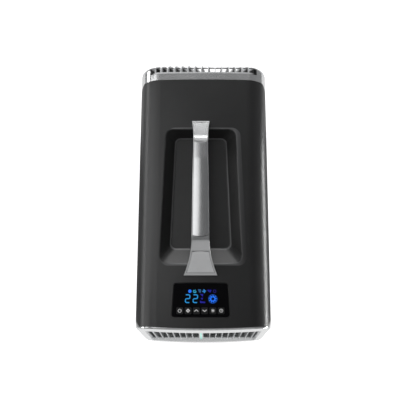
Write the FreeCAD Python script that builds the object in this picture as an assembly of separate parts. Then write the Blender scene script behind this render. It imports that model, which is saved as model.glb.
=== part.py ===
"""A portable spot air conditioner, as the separate pieces it comes apart into.

Millimetres. +Z is up, +Y is the rear and +X the right-hand side seen from the front.
The origin is on the floor, under the middle of the case.
"""

import FreeCAD, Part
import math
import os

# ---------------------------------------------------------------- driving dimensions

# Case section, seen from the front
HALF_WIDTH = 130.5        # at the belly of the side walls
BASE_Z = 8.0              # underside of the base pan
TOP_Z = 288.0             # crown of the top shell
BELLY_Z = 118.0           # height of the widest point
CROWN_R = 1500.0          # radius of the top's slight crown
SIDE_R = 2600.0           # radius of the bowed side walls
SHOULDER_R = 44.0         # rounding between top and side
FLOOR_EDGE_R = 28.0       # rounding between side and underside
WALL = 3.0                # moulded wall thickness
SEAM = 0.3                # gap between two moulded covers

# Case length
FRONT_Y = -266.0          # face of the front frame
REAR_Y = 266.0            # back of the rear grille
SHELL_SETBACK = 4.0       # the shell's front edge lies this far behind the front frame's face
FRONT_BOW = 4.5           # the front face bows forward by this much at its middle
FRONT_CORNER_R = 14.0     # rounding of the front's upright corners, in plan
PLAN_CLEAR = 0.3          # the plan's sides stand this far outside the case's widest line
SHELL_REAR_Y = 232.0      # rear edge of the shell on the top
RAKE_FRONT_Y = -231.0     # front edge of the shell on the sides
RAKE_REAR_Y = 216.0       # rear edge of the shell on the sides
PAN_SEAM_Z = 58.0         # joint between top shell and base pan
REAR_EDGE_R = 11.0        # rounding of the rear end
FRONT_EDGE_R = 3.0        # rounding of the front end
FACE_PLATE = 4.0          # wall thickness of both end faces
FEATURE_X = -5.0          # handle, recess, panel, keys and vanes are centred here

# Hand recess in the top: (y, half width) of its front and rear edges
RECESS_TOP = ((-144.0, 80.0), (127.0, 70.5))
RECESS_FLOOR = ((-108.0, 56.5), (113.0, 48.5))
RECESS_DEPTH = 24.0
RECESS_CORNER = 15.0

# Handle
BAR_TOP_Z = 332.0
BAR_BOTTOM_Z = 310.0
HANDLE_FRONT_Y = -165.0
HANDLE_REAR_Y = 141.0
RAIL = 1.7                # width of the side rails beside the inlays
INLAY = 2.4               # thickness of the inlays
NECK_SEAM_Y = -101.0      # front end of the grip inlay
COVER_TOP_Y = -125.0      # upper end of the front foot cover
REAR_SEAM_Y = 84.0        # rear end of the grip inlay
HANDLE_SCREWS = [(FEATURE_X + dx, y) for dx, y in ((-9, -152.0), (9, -152.0), (-6, 134.0), (6, 134.0))]
SCREW_HEAD_Z = TOP_Z - WALL - 0.4        # the heads bear on the underside of the shell's top
SCREW_TIP_Z = TOP_Z + 4.0

# Display panel and keys
PANEL_FRONT_Y = -241.0
PANEL_REAR_Y = -179.5
PANEL_HALF_FRONT = 53.0
PANEL_HALF_REAR = 49.5
PANEL_THICK = 2.6
PANEL_PROUD = 0.0         # how far the panel stands above the crown
PANEL_TOP = TOP_Z + PANEL_PROUD
PANEL_UNDER = PANEL_TOP - PANEL_THICK
BOARD_Z = PANEL_UNDER - 12.0
KEY_SIZE = 12.0
KEY_PITCH = 15.2
KEY_Y = -230.0
KEY_TRAVEL = 0.8
KEY_GAP = 0.3
KEYS = ("power", "mode", "up", "down", "light", "timer")

# Air outlet and its vanes
OUTLET_HALF = 108.0
OUTLET_Z = (40.0, 232.0)
OUTLET_CORNER_R = 3.0
VANE_Y = -250.0           # pivot line
VANE_CHORD = 22.0
VANE_THICK = 1.8
VANE_PITCH = 12.6
POST_GAP = 17.8           # middle vane to its neighbours
POST_WIDTH = 9.0
VANES_LEFT = 7
VANES_RIGHT = 8
PIVOT_D = 3.0
PIN_D = 2.0
FIT = 0.08                # radial clearance of a running fit
LINK_Z = 188.0
LINK_BACK = 8.0           # link pins sit this far behind the pivots

# Rear grille
GRILLE_HALF = 107.5
GRILLE_BOTTOM_Z = 64.0
GRILLE_FRONT_Y = 246.0
HUB_Z = 146.0             # height of both fans' axes
HUB_R = 34.0
MID_RING_R = 68.0
SWIRL_R = 25.7            # the blades' lines touch a circle of this radius
BLADE_THICK = 2.2
BLADE_PITCH = 13.4        # along the edge of the grille

# Side intakes
INTAKE_Y = (-112.0, 84.0)
INTAKE_Z = (76.0, 206.0)

# Fans
FAN_Z = HUB_Z
FAN_R = 92.0
SHAFT_D = 6.0

# Feet, base screws, power inlet and drain
FOOT_PLACES = [(x, y) for x in (-82.0, 82.0) for y in (-188.0, 178.0)]
SCREW_PLACES = [(x, y) for x in (-94.0, 94.0) for y in (-214.0, -130.0, -60.0, 40.0, 120.0, 202.0)]
INLET_X = 62.0
INLET_Z = 45.0
DRAIN_X = -70.0

# Compressor and its lines
COMPRESSOR_X = -44.0
COMPRESSOR_Y = 8.0
COMPRESSOR_Z = 26.0
LINE_X = COMPRESSOR_X + 72.0      # where the suction line passes the bulkhead
LINE_Z = 60.0


# ---------------------------------------------------------------- helpers

def vec(x, y, z):
    return FreeCAD.Vector(x, y, z)


def block(x0, x1, y0, y1, z0, z1):
    """A box between two corners."""
    return Part.makeBox(x1 - x0, y1 - y0, z1 - z0, vec(x0, y0, z0))


def rod(diameter, start, end):
    """A cylinder from one point to another."""
    axis = end.sub(start)
    return Part.makeCylinder(diameter / 2, axis.Length, start, axis)


def rounded_wire(points, radius):
    """A closed outline of straight runs joined by tangent arcs."""
    count = len(points)
    ends = []
    edges = []
    for i, corner in enumerate(points):
        back = points[i - 1].sub(corner).normalize()
        ahead = points[(i + 1) % count].sub(corner).normalize()
        half = back.getAngle(ahead) / 2
        trim = radius / math.tan(half)
        centre = corner.add(back.add(ahead).normalize().multiply(radius / math.sin(half)))
        inward = corner.sub(centre).normalize().multiply(radius)
        start = corner.add(vec(*back).multiply(trim))
        end = corner.add(vec(*ahead).multiply(trim))
        edges.append(Part.Arc(start, centre.add(inward), end).toShape())
        ends.append((start, end))
    sides = []
    for i in range(count):
        sides.append(edges[i])
        sides.append(Part.makeLine(ends[i][1], ends[(i + 1) % count][0]))
    return Part.Wire(sides)


def prism(wire, direction):
    """A closed outline extruded into a solid."""
    return Part.Face(wire).extrude(direction)


def plate(half_x, y0, y1, z0, z1, radius):
    """A slab facing the front, with rounded corners."""
    corners = [vec(-half_x, y0, z0), vec(half_x, y0, z0), vec(half_x, y0, z1), vec(-half_x, y0, z1)]
    return prism(rounded_wire(corners, radius), vec(0, y1 - y0, 0))


def trapezoid(front, rear, z, radius):
    """An outline in plan, from (y, half width) at the front and rear."""
    corners = [vec(-front[1], front[0], z), vec(front[1], front[0], z),
               vec(rear[1], rear[0], z), vec(-rear[1], rear[0], z)]
    return rounded_wire(corners, radius)


def polygon(points):
    """A flat closed outline with sharp corners."""
    return Part.makePolygon(list(points) + [points[0]])


def mirrored(shape):
    """The other side's copy of a shape."""
    return shape.mirror(vec(0, 0, 0), vec(1, 0, 0))


def shifted(shape):
    """A shape moved from the case's middle plane to the features' centreline."""
    copy = shape.copy()
    copy.translate(vec(FEATURE_X, 0, 0))
    return copy


def fused(shapes):
    """One solid from several that overlap."""
    return shapes[0].multiFuse(shapes[1:]).removeSplitter()


def export(name, *shapes):
    shape = shapes[0] if len(shapes) == 1 else Part.makeCompound(list(shapes))
    if not shape.isValid() or shape.Volume < 1:
        raise ValueError("bad solid in " + name)
    shape.exportStep("parts/" + name + ".step")


# ---------------------------------------------------------------- case section

def meet(first, radius_1, second, radius_2):
    """The right-hand upper point at the given distances from two centres in the XZ plane."""
    dx = second[0] - first[0]
    dz = second[1] - first[1]
    gap = math.hypot(dx, dz)
    along = (radius_1 ** 2 - radius_2 ** 2 + gap ** 2) / (2 * gap)
    across = math.sqrt(radius_1 ** 2 - along ** 2)
    points = [(first[0] + (along * dx + s * across * dz) / gap,
               first[1] + (along * dz - s * across * dx) / gap) for s in (-1, 1)]
    return max(points)


def toward(centre, point, radius):
    """The point at a radius from a centre, in the direction of another point."""
    dx = point[0] - centre[0]
    dz = point[1] - centre[1]
    size = math.hypot(dx, dz)
    return centre[0] + dx * radius / size, centre[1] + dz * radius / size


def arc_xz(centre, start, end, y):
    """The short arc from start to end about a centre."""
    radius = math.hypot(start[0] - centre[0], start[1] - centre[1])
    middle = toward(centre, ((start[0] + end[0]) / 2, (start[1] + end[1]) / 2), radius)
    return Part.Arc(*[vec(p[0], y, p[1]) for p in (start, middle, end)]).toShape()


def case_wire(y, inset=0.0):
    """The outline of the case at one station, shrunk by an inset."""
    crown = (0.0, TOP_Z - CROWN_R)
    side = (HALF_WIDTH - SIDE_R, BELLY_Z)
    shoulder = meet(crown, CROWN_R - SHOULDER_R, side, SIDE_R - SHOULDER_R)
    heel_z = BASE_Z + FLOOR_EDGE_R
    reach = SIDE_R - FLOOR_EDGE_R
    heel = (side[0] + math.sqrt(reach ** 2 - (heel_z - side[1]) ** 2), heel_z)
    low = (heel[0], BASE_Z + inset)
    wall_low = toward(side, heel, SIDE_R - inset)
    wall_high = toward(side, shoulder, SIDE_R - inset)
    top = toward(crown, shoulder, CROWN_R - inset)
    right = [arc_xz(heel, low, wall_low, y), arc_xz(side, wall_low, wall_high, y),
             arc_xz(shoulder, wall_high, top, y)]
    left = [mirrored(edge) for edge in right]
    floor = Part.makeLine(vec(-low[0], y, low[1]), vec(low[0], y, low[1]))
    crown_arc = Part.Arc(vec(-top[0], y, top[1]), vec(0, y, TOP_Z - inset), vec(top[0], y, top[1])).toShape()
    return Part.Wire(Part.__sortEdges__(right + left + [floor, crown_arc]))


def case_solid(y0, y1, inset=0.0):
    return prism(case_wire(y0, inset), vec(0, y1 - y0, 0))


def end_edges(shape, y):
    """Edges that lie wholly on an end plane of the case."""
    return [e for e in shape.Edges if all(abs(v.Y - y) < 1e-4 for v in e.Vertexes)]


def front_plan(setback, inset=0.0):
    """Everything behind the front's bowed outline, seen from above, with its rounded corners."""
    radius = FRONT_CORNER_R - inset
    corner_x = HALF_WIDTH - FRONT_CORNER_R + PLAN_CLEAR
    bow_r = corner_x ** 2 / (2 * FRONT_BOW)
    bow_y = FRONT_Y + setback + bow_r
    corner_y = bow_y - math.sqrt((bow_r - radius) ** 2 - corner_x ** 2)
    touch = toward((0.0, bow_y), (corner_x, corner_y), bow_r)
    middle = toward((corner_x, corner_y), (corner_x + 1, corner_y - 1), radius)
    side_x = corner_x + radius
    right = Part.Arc(*[vec(x, y, -20) for x, y in (touch, middle, (side_x, corner_y))]).toShape()
    bow = Part.Arc(vec(-touch[0], touch[1], -20), vec(0, FRONT_Y + setback, -20), vec(*touch, -20)).toShape()
    back = Part.makePolygon([vec(side_x, corner_y, -20), vec(side_x, 300, -20),
                             vec(-side_x, 300, -20), vec(-side_x, corner_y, -20)])
    wire = Part.Wire(Part.__sortEdges__([bow, right, mirrored(right)] + back.Edges))
    return prism(wire, vec(0, 0, 440))


def shell_zone(grow=0.0):
    """What the shell and pan take up along the case: full length on top, raked back on the sides."""
    front, rear = FRONT_Y - 20, SHELL_REAR_Y + grow
    rake_front, rake_rear = RAKE_FRONT_Y - grow, RAKE_REAR_Y + grow
    side = [(front, 400), (front, 275), (FRONT_Y + SHELL_SETBACK, 275), (rake_front, 238), (rake_front, -50),
            (rake_rear, -50), (rake_rear, 246), (rear, 266), (rear, 400)]
    zone = prism(polygon([vec(-200, y, z) for y, z in side]), vec(400, 0, 0))
    return zone.common(front_plan(SHELL_SETBACK - grow, -grow))


# ---------------------------------------------------------------- shell and base

def recess(grow):
    """The tapered hand recess, or the block around it when grown by the wall."""
    (front_y, front_x), (rear_y, rear_x) = RECESS_TOP
    (floor_front, floor_fx), (floor_rear, floor_rx) = RECESS_FLOOR
    slope = 1.5 / RECESS_DEPTH
    top = trapezoid((front_y - grow - 36 * slope, front_x + grow + 23 * slope),
                    (rear_y + grow + 14 * slope, rear_x + grow + 22 * slope), TOP_Z + 1.5, RECESS_CORNER + grow)
    floor = trapezoid((floor_front - grow, floor_fx + grow), (floor_rear + grow, floor_rx + grow),
                      TOP_Z - RECESS_DEPTH - grow, RECESS_CORNER - 4 + grow)
    return shifted(Part.makeLoft([top, floor], True, True))


def intake_window(grow):
    return block(60, 200, INTAKE_Y[0] - grow, INTAKE_Y[1] + grow, INTAKE_Z[0] - grow, INTAKE_Z[1] + grow)


def panel_wire(z, grow=0.0):
    return trapezoid((PANEL_FRONT_Y - grow, PANEL_HALF_FRONT + grow),
                     (PANEL_REAR_Y + grow, PANEL_HALF_REAR + grow), z, 4.6 + grow)


def near_recess(edge, z0, z1):
    box = edge.BoundBox
    across = max(abs(box.XMin - FEATURE_X), abs(box.XMax - FEATURE_X))
    inside = across < 84 and box.YMin > -150 and box.YMax < 134
    return inside and box.ZMin > z0 and box.ZMax < z1


def softened(shape, edges, radii):
    """A shape with the given edges rounded, by the largest radius that works."""
    for radius in radii:
        try:
            result = shape.makeFillet(radius, edges)
        except Part.OCCError:
            continue
        if result.isValid() and result.Volume > 0:
            return result
    print("edges left sharp")
    return shape


def make_top_shell():
    outer = case_solid(FRONT_Y, SHELL_REAR_Y)
    inner = case_solid(FRONT_Y - 1, SHELL_REAR_Y + 1, WALL)
    tray = recess(WALL).common(outer)
    shell = outer.cut(inner).fuse(tray).cut(recess(0.0)).removeSplitter()
    lip = [e for e in shell.Edges if near_recess(e, TOP_Z - 4.5, TOP_Z + 1)]
    shell = softened(shell, lip, (2.2, 1.8))
    floor_z = TOP_Z - RECESS_DEPTH
    floor = [e for e in shell.Edges if near_recess(e, floor_z - 0.1, floor_z + 0.1)]
    shell = softened(shell, floor, (3.5, 2.5))
    shell = shell.common(shell_zone())
    shell = shell.cut(block(-200, 200, -300, 300, -10, PAN_SEAM_Z + SEAM))
    windows = [intake_window(SEAM), mirrored(intake_window(SEAM))]
    pocket = shifted(prism(panel_wire(PANEL_UNDER, SEAM), vec(0, 0, 10)))
    bezel = Part.makeLoft([panel_wire(TOP_Z - 1.6, SEAM), panel_wire(TOP_Z + 0.4, SEAM + 2.2)], True, True)
    bezel = shifted(bezel)
    well_front = (PANEL_FRONT_Y + 3, PANEL_HALF_FRONT - 4)
    well = trapezoid(well_front, (PANEL_REAR_Y - 3, PANEL_HALF_REAR - 4), TOP_Z - 20, 3.0)
    well = shifted(prism(well, vec(0, 0, 30)))
    shell = shell.cut(Part.makeCompound(windows)).cut(pocket).cut(bezel).cut(well).cut(handle_screw_holes())
    ledge = shifted(prism(panel_wire(PANEL_UNDER - 3.0, 4.0), vec(0, 0, 3.0))).cut(well)
    return shell.fuse(ledge.common(inner)).removeSplitter()


def make_base_pan():
    outer = case_solid(RAKE_FRONT_Y, RAKE_REAR_Y)
    inner = case_solid(RAKE_FRONT_Y - 1, RAKE_REAR_Y + 1, WALL)
    keep = block(-200, 200, -300, 300, -10, PAN_SEAM_Z)
    pan = outer.cut(inner).common(keep)
    tongue = case_solid(RAKE_FRONT_Y + 4, RAKE_REAR_Y - 4, WALL + 0.2)
    tongue = tongue.cut(case_solid(RAKE_FRONT_Y, RAKE_REAR_Y, WALL + 1.8))
    tongue = tongue.common(block(-200, 200, -300, 300, PAN_SEAM_Z - 8, PAN_SEAM_Z + 6))
    ribs = [block(-100, 100, y - 1, y + 1, BASE_Z + 2, BASE_Z + 8) for y in (-205, -80, 70, 140, 205)]
    link = case_solid(RAKE_FRONT_Y + 4, RAKE_REAR_Y - 4, WALL - 0.2)
    link = link.cut(case_solid(RAKE_FRONT_Y, RAKE_REAR_Y, WALL + 1.8))
    link = link.common(block(-200, 200, -300, 300, PAN_SEAM_Z - 8, PAN_SEAM_Z - 2))
    pan = fused([pan, tongue, link] + ribs)
    holes = [rod(8.0, vec(x, y, BASE_Z - 1), vec(x, y, BASE_Z + WALL + 1)) for x, y in FOOT_PLACES]
    holes += [rod(4.3, vec(x, y, BASE_Z - 1), vec(x, y, BASE_Z + 12)) for x, y in SCREW_PLACES]
    holes += [rod(8.6, vec(x, y, BASE_Z - 1), vec(x, y, BASE_Z + 1.6)) for x, y in SCREW_PLACES]
    return pan.cut(Part.makeCompound(holes))


def make_feet():
    """Four moulded feet, each with a stem pressed up through the base pan."""
    feet = []
    for x, y in FOOT_PLACES:
        pad = Part.makeCone(12.5, 15.0, BASE_Z, vec(x, y, 0))
        stem = rod(7.8, vec(x, y, BASE_Z - 1), vec(x, y, BASE_Z + WALL))
        cap = Part.makeCone(6.0, 4.0, 3.0, vec(x, y, BASE_Z + WALL))
        feet.append(fused([pad, stem, cap]))
    return feet


def make_base_screws():
    screws = []
    for x, y in SCREW_PLACES:
        head = rod(8.0, vec(x, y, BASE_Z + 0.2), vec(x, y, BASE_Z + 1.6))
        shank = rod(4.0, vec(x, y, BASE_Z + 1.4), vec(x, y, BASE_Z + 12))
        slot = block(x - 2.6, x + 2.6, y - 0.5, y + 0.5, BASE_Z, BASE_Z + 0.9)
        cross = block(x - 0.5, x + 0.5, y - 2.6, y + 2.6, BASE_Z, BASE_Z + 0.9)
        screws.append(head.fuse(shank).cut(slot).cut(cross))
    return screws


def make_intake_grille():
    """A louvred panel clipped into the right-hand wall."""
    wall = case_solid(INTAKE_Y[0], INTAKE_Y[1]).cut(case_solid(INTAKE_Y[0] - 1, INTAKE_Y[1] + 1, WALL))
    panel = wall.common(intake_window(0.0))
    slots = []
    bays = 4
    bay = (INTAKE_Y[1] - INTAKE_Y[0] - 14.0) / bays
    rows = 13
    row = (INTAKE_Z[1] - INTAKE_Z[0] - 12.0) / rows
    for i in range(bays):
        y0 = INTAKE_Y[0] + 7.0 + i * bay
        for j in range(rows):
            z0 = INTAKE_Z[0] + 6.0 + j * row
            slots.append(block(90, 140, y0 + 2.0, y0 + bay - 2.0, z0 + 1.6, z0 + row - 1.6))
    return panel.cut(Part.makeCompound(slots))


def make_air_filter():
    """A foam pad behind the right-hand intake."""
    return block(118.0, 123.0, INTAKE_Y[0] - 3, INTAKE_Y[1] + 3, INTAKE_Z[0] - 3, INTAKE_Z[1] + 3)


def make_bulkhead():
    """The wall that keeps cold and warm air apart."""
    wall = case_solid(-53, -50, WALL + 2.4)
    wall = wall.common(block(-110, 110, -60, -40, BASE_Z + 8.2, TOP_Z - RECESS_DEPTH - WALL - 1))
    return wall.cut(rod(16, vec(LINE_X, -60, LINE_Z), vec(LINE_X, -40, LINE_Z)))


# ---------------------------------------------------------------- end frames


def front_cap():
    """The hollow front end of the case: outer skin plus a bowed face plate."""
    body = case_solid(RAKE_FRONT_Y, FRONT_Y).common(front_plan(0.0))
    rim = [e for e in body.Edges if e.BoundBox.YMax < RAKE_FRONT_Y - 3 and e.BoundBox.ZLength < 60]
    body = softened(body, rim, (FRONT_EDGE_R, 2.0, 1.2))
    cavity = case_solid(RAKE_FRONT_Y + 1, FRONT_Y, WALL).common(front_plan(FACE_PLATE, WALL))
    return body.cut(cavity)


def rear_block():
    """The rounded rear end of the case, before it is parted into frame and grille."""
    body = case_solid(RAKE_REAR_Y, REAR_Y)
    return softened(body, end_edges(body, REAR_Y), (REAR_EDGE_R, 9.0))


def rear_cap():
    """The hollow rear end of the case: outer skin plus a face plate."""
    cavity = case_solid(RAKE_REAR_Y - 1, REAR_Y - FACE_PLATE, WALL)
    cavity = softened(cavity, end_edges(cavity, REAR_Y - FACE_PLATE), (REAR_EDGE_R - WALL, 6.0))
    return rear_block().cut(cavity)


def make_front_frame():
    body = front_cap().cut(shell_zone(SEAM))
    z0, z1 = OUTLET_Z
    collar = plate(OUTLET_HALF + 6, FRONT_Y + 1, VANE_Y + 9, z0 - 6, z1 + 6, 12.0)
    body = body.fuse(collar.common(front_plan(1.0, 1.0)))
    body = body.cut(plate(OUTLET_HALF, FRONT_Y - 5, VANE_Y + 12, z0, z1, OUTLET_CORNER_R))
    flare = Part.makeLoft([outlet_wire(FRONT_Y - 0.2, 4.6), outlet_wire(FRONT_Y + 9.0, 0.0)], True, True)
    body = body.cut(flare)
    bores = [rod(PIVOT_D + 2 * FIT, vec(x, VANE_Y, z0 - 5), vec(x, VANE_Y, z1 + 5)) for x in vane_places()]
    body = body.cut(Part.makeCompound(bores))
    tongue = case_solid(RAKE_FRONT_Y - 4, RAKE_FRONT_Y + 8, WALL + 0.3)
    tongue = tongue.cut(case_solid(RAKE_FRONT_Y - 5, RAKE_FRONT_Y + 9, WALL + 2.0))
    tongue = tongue.common(block(-200, 200, -300, 0, PAN_SEAM_Z + 10, 225))
    root = case_solid(RAKE_FRONT_Y - 4, RAKE_FRONT_Y - SEAM, WALL - 1)
    root = root.cut(case_solid(RAKE_FRONT_Y - 5, RAKE_FRONT_Y + 9, WALL + 2.0))
    root = root.common(block(-200, 200, -300, 0, PAN_SEAM_Z + 10, 225))
    return fused([body, tongue, root])


def outlet_wire(y, grow):
    z0, z1 = OUTLET_Z
    half = OUTLET_HALF + grow
    low, high = z0 - grow, z1 + grow
    corners = [vec(-half, y, low), vec(half, y, low), vec(half, y, high), vec(-half, y, high)]
    return rounded_wire(corners, OUTLET_CORNER_R + grow)


def grille_zone(grow=0.0):
    half = GRILLE_HALF + grow
    z0 = GRILLE_BOTTOM_Z - grow
    corners = [vec(-half, 0, z0), vec(half, 0, z0), vec(half, 0, 340), vec(-half, 0, 340)]
    zone = prism(rounded_wire(corners, 14.0 + grow), vec(0, 300, 0))
    return zone.cut(block(-200, 200, -1, GRILLE_FRONT_Y - grow, 0, 400))


def make_rear_frame():
    body = rear_cap().cut(shell_zone(SEAM)).cut(grille_zone(SEAM))
    z1 = TOP_Z - WALL - 1
    collar = plate(GRILLE_HALF + 4, GRILLE_FRONT_Y - 12, REAR_Y - 3, GRILLE_BOTTOM_Z - 4, z1, 17.0)
    bore = plate(GRILLE_HALF - 4, GRILLE_FRONT_Y - 20, REAR_Y + 5, GRILLE_BOTTOM_Z + 4, z1 - 5, 12.0)
    collar = collar.cut(bore).cut(grille_zone(SEAM)).common(rear_block())
    body = body.fuse(collar).removeSplitter()
    body = body.cut(block(INLET_X - 15.2, INLET_X + 15.2, 240, 280, INLET_Z - 8.2, INLET_Z + 8.2))
    pocket = plate(16.6, REAR_Y - 1.6, REAR_Y + 5, INLET_Z - 9.6, INLET_Z + 9.6, 2.6)
    pocket.translate(vec(INLET_X, 0, 0))
    body = body.cut(pocket)
    body = body.cut(rod(17.4, vec(DRAIN_X, REAR_Y - 2.6, INLET_Z), vec(DRAIN_X, REAR_Y + 5, INLET_Z)))
    return body.cut(rod(12.4, vec(DRAIN_X, 240, INLET_Z), vec(DRAIN_X, 280, INLET_Z)))


def make_power_inlet():
    """A three-pin appliance inlet, clipped into the rear frame and flush with it."""
    flange = plate(16.5, REAR_Y - 1.6, REAR_Y, INLET_Z - 9.5, INLET_Z + 9.5, 2.5)
    can = plate(15.0, REAR_Y - 18, REAR_Y - 1.6, INLET_Z - 8.0, INLET_Z + 8.0, 2.0)
    socket = plate(12.0, REAR_Y - 15.6, REAR_Y + 3, INLET_Z - 5.6, INLET_Z + 5.6, 1.5)
    pins = [block(dx - 1.0, dx + 1.0, REAR_Y - 16.6, REAR_Y - 2.6, INLET_Z + dz - 2, INLET_Z + dz + 2)
            for dx, dz in ((-7.0, -0.5), (0.0, 1.5), (7.0, -0.5))]
    inlet = fused([flange.fuse(can).cut(socket)] + pins)
    inlet.translate(vec(INLET_X, 0, 0))
    return inlet


def make_drain_plug():
    """A rubber bung on the condensate outlet, its pull tab level with the frame."""
    seat = REAR_Y - 2.6
    bung = Part.makeCone(6.1, 5.6, 14, vec(DRAIN_X, seat, INLET_Z), vec(0, -1, 0))
    cap = rod(17.0, vec(DRAIN_X, seat, INLET_Z), vec(DRAIN_X, seat + 1.2, INLET_Z))
    pull = plate(4.5, seat + 1.0, REAR_Y, INLET_Z - 1.2, INLET_Z + 1.2, 1.0)
    pull.translate(vec(DRAIN_X, 0, 0))
    return fused([bung, cap, pull])


# ---------------------------------------------------------------- outlet vanes

def vane_places():
    """Pivot positions across the outlet, the middle vane first."""
    left = [FEATURE_X - POST_GAP - i * VANE_PITCH for i in range(VANES_LEFT)]
    right = [FEATURE_X + POST_GAP + i * VANE_PITCH for i in range(VANES_RIGHT)]
    return [FEATURE_X] + left + right


def make_vane(x, thick):
    """An upright blade with a pivot at each end and a pin for the link bar."""
    z0, z1 = OUTLET_Z
    front, back = VANE_Y - VANE_CHORD / 2, VANE_Y + VANE_CHORD / 2
    nose = min(thick / 2, 0.8)
    half = thick / 2
    outline = [vec(x - half + nose, front, z0 + 0.6), vec(x + half - nose, front, z0 + 0.6),
               vec(x + half, front + 1.6, z0 + 0.6), vec(x + half, VANE_Y + 2, z0 + 0.6),
               vec(x + 0.55, back, z0 + 0.6), vec(x - 0.55, back, z0 + 0.6),
               vec(x - half, VANE_Y + 2, z0 + 0.6), vec(x - half, front + 1.6, z0 + 0.6)]
    if nose == half:
        outline = outline[1:]
        outline[0] = vec(x, front, z0 + 0.6)
    blade = prism(polygon(outline), vec(0, 0, z1 - z0 - 1.2))
    notch = block(x - 8, x + 8, VANE_Y + LINK_BACK - 5.0, back + 1, LINK_Z - 4, LINK_Z + 4)
    pivots = [rod(PIVOT_D, vec(x, VANE_Y, z0 - 4.5), vec(x, VANE_Y, z0 + 2)),
              rod(PIVOT_D, vec(x, VANE_Y, z1 - 2), vec(x, VANE_Y, z1 + 4.5))]
    pin = rod(PIN_D, vec(x, VANE_Y + LINK_BACK, LINK_Z - 5), vec(x, VANE_Y + LINK_BACK, LINK_Z + 5))
    return fused([blade.cut(notch)] + pivots + [pin])


def make_lead_vane():
    """The wide middle vane, with a channel down its face for the mint strip."""
    z0, z1 = OUTLET_Z
    nose = VANE_Y - VANE_CHORD / 2
    channel = block(FEATURE_X - 1.7, FEATURE_X + 1.7, nose - 1, nose + 1.2, z0 + 8, z1 - 18)
    return make_vane(FEATURE_X, POST_WIDTH).cut(channel)


def make_vane_strip():
    z0, z1 = OUTLET_Z
    front = VANE_Y - VANE_CHORD / 2
    return block(FEATURE_X - 1.6, FEATURE_X + 1.6, front - 0.3, front + 1.2, z0 + 8.1, z1 - 18.1)


def make_link_bar():
    """The bar that turns all the vanes together."""
    y = VANE_Y + LINK_BACK
    left, right = min(vane_places()) - 3.6, max(vane_places()) + 3.6
    corners = [vec(left, y - 2.4, LINK_Z - 2), vec(right, y - 2.4, LINK_Z - 2),
               vec(right, y + 2.4, LINK_Z - 2), vec(left, y + 2.4, LINK_Z - 2)]
    bar = prism(rounded_wire(corners, 2.0), vec(0, 0, 4))
    holes = [rod(PIN_D + 2 * FIT, vec(x, y, LINK_Z - 5), vec(x, y, LINK_Z + 5)) for x in vane_places()]
    return bar.cut(Part.makeCompound(holes))


# ---------------------------------------------------------------- rear grille

def blade_line(edge_point):
    """Direction and side normal of a blade that ends at a point on the grille's edge."""
    distance = math.hypot(*edge_point)
    turn = math.atan2(edge_point[1], edge_point[0]) + math.asin(SWIRL_R / distance)
    return (math.cos(turn), math.sin(turn)), (math.sin(turn), -math.cos(turn))


def blade_point(line, radius, offset):
    """A point on a blade's side, at a radius from the hub."""
    (ux, uz), (nx, nz) = line
    side = SWIRL_R + offset
    along = math.sqrt(radius ** 2 - side ** 2)
    return vec(nx * side + ux * along, 0, HUB_Z + nz * side + uz * along)


def edge_points():
    """Points an even pitch apart round the grille's edge, measured from the hub, anticlockwise."""
    half = GRILLE_HALF - 3.5
    top = TOP_Z - HUB_Z - 5
    bottom = GRILLE_BOTTOM_Z + 3.5 - HUB_Z
    across = [half - BLADE_PITCH * i for i in range(int(2 * half / BLADE_PITCH) + 1)]
    down = [top - BLADE_PITCH * i for i in range(1, int((top - bottom) / BLADE_PITCH) + 1)]
    points = [(x, top) for x in across]
    points += [(-half, z) for z in down]
    points += [(-x, bottom) for x in across]
    points += [(half, -z + top + bottom) for z in down]
    if len(points) % 2:
        points.pop()
    return points


def sector(first, second, r0, r1):
    """The opening between two neighbouring blades, from one radius to another."""
    half = BLADE_THICK / 2
    corners = [blade_point(first, r0, -half), blade_point(second, r0, half),
               blade_point(second, r1, half), blade_point(first, r1, -half)]
    wedge = prism(polygon(corners), vec(0, 60, 0))
    wedge.translate(vec(0, GRILLE_FRONT_Y - 20, 0))
    return wedge


def make_rear_grille():
    """Swirling blades about the fan's axis, reaching over the rounded top edge."""
    body = rear_block().common(grille_zone())
    lines = [blade_line(p) for p in edge_points()]
    openings = []
    for i in range(len(lines)):
        openings.append(sector(lines[i], lines[(i + 1) % len(lines)], MID_RING_R + 1.2, 240))
        if i % 2 == 0:
            openings.append(sector(lines[i], lines[(i + 2) % len(lines)], HUB_R + 3, MID_RING_R - 1.2))
    border = plate(GRILLE_HALF - 3.5, GRILLE_FRONT_Y - 10, REAR_Y + 10, GRILLE_BOTTOM_Z + 3.5, TOP_Z + 20, 11.0)
    rim = block(-200, 200, GRILLE_FRONT_Y - 20, GRILLE_FRONT_Y + 3.0, TOP_Z - 16, TOP_Z + 30)
    rib = rod(3.2, vec(-GRILLE_HALF, REAR_Y - 5.5, TOP_Z - 7.0), vec(GRILLE_HALF, REAR_Y - 5.5, TOP_Z - 7.0))
    openings = Part.makeCompound(openings).common(border).cut(rim).cut(rib)
    hollow = rod(2 * MID_RING_R - 6, vec(0, GRILLE_FRONT_Y - 5, HUB_Z), vec(0, GRILLE_FRONT_Y + 8, HUB_Z))
    return body.cut(openings).cut(hollow)


# ---------------------------------------------------------------- handle

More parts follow.
